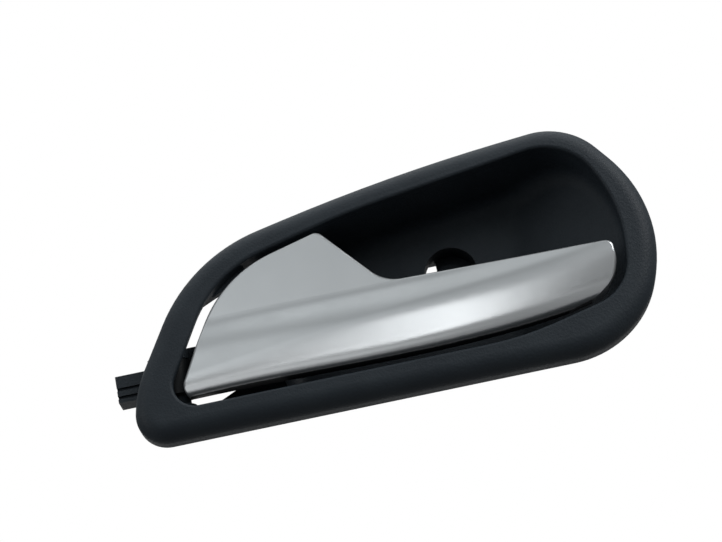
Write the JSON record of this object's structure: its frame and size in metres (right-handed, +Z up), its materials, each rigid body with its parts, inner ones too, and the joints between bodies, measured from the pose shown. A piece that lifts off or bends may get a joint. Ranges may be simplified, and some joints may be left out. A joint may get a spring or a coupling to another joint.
{
  "type": "car interior door handle",
  "caption": "Car interior door handle: a dark grained bezel housing with a finger cup and screw well, and a silver pull lever on a sprung hinge with a cable arm behind.",
  "frame": {"origin": "on the axis of the fixing screw, at the rear plane where the screw well sits on the door's inner panel", "axes": "+X along the handle towards the lever's free tip, +Z up, -Y out of the door into the cabin"},
  "size_m": [0.173, 0.038, 0.076],
  "materials": {
    "dark_plastic": "fine grain on the bezel, smoother in the cup",
    "silver_paint": "satin silver paint on moulded plastic",
    "steel": "bright zinc plate",
    "spring_steel": "oiled dark wire",
    "rubber": "matt"
  },
  "bodies": {
    "housing": {"bezel_housing": "dark_plastic", "hinge_pin": "steel", "pin_ring": "steel", "return_spring": "spring_steel", "rest_buffer": "rubber"},
    "lever": {"pull_lever": "silver_paint"}
  },
  "joints": [
    {"name": "lever_pull", "type": "hinge", "parent": "housing", "child": "lever", "pos_m": [-0.09, -0.0265, -0.0245], "axis": [0, 0, -1], "range_deg": [0, 22], "stiffness_Nm_per_rad": 0.05, "springref_deg": -91.67, "deforming": ["return_spring"]}
  ]
}
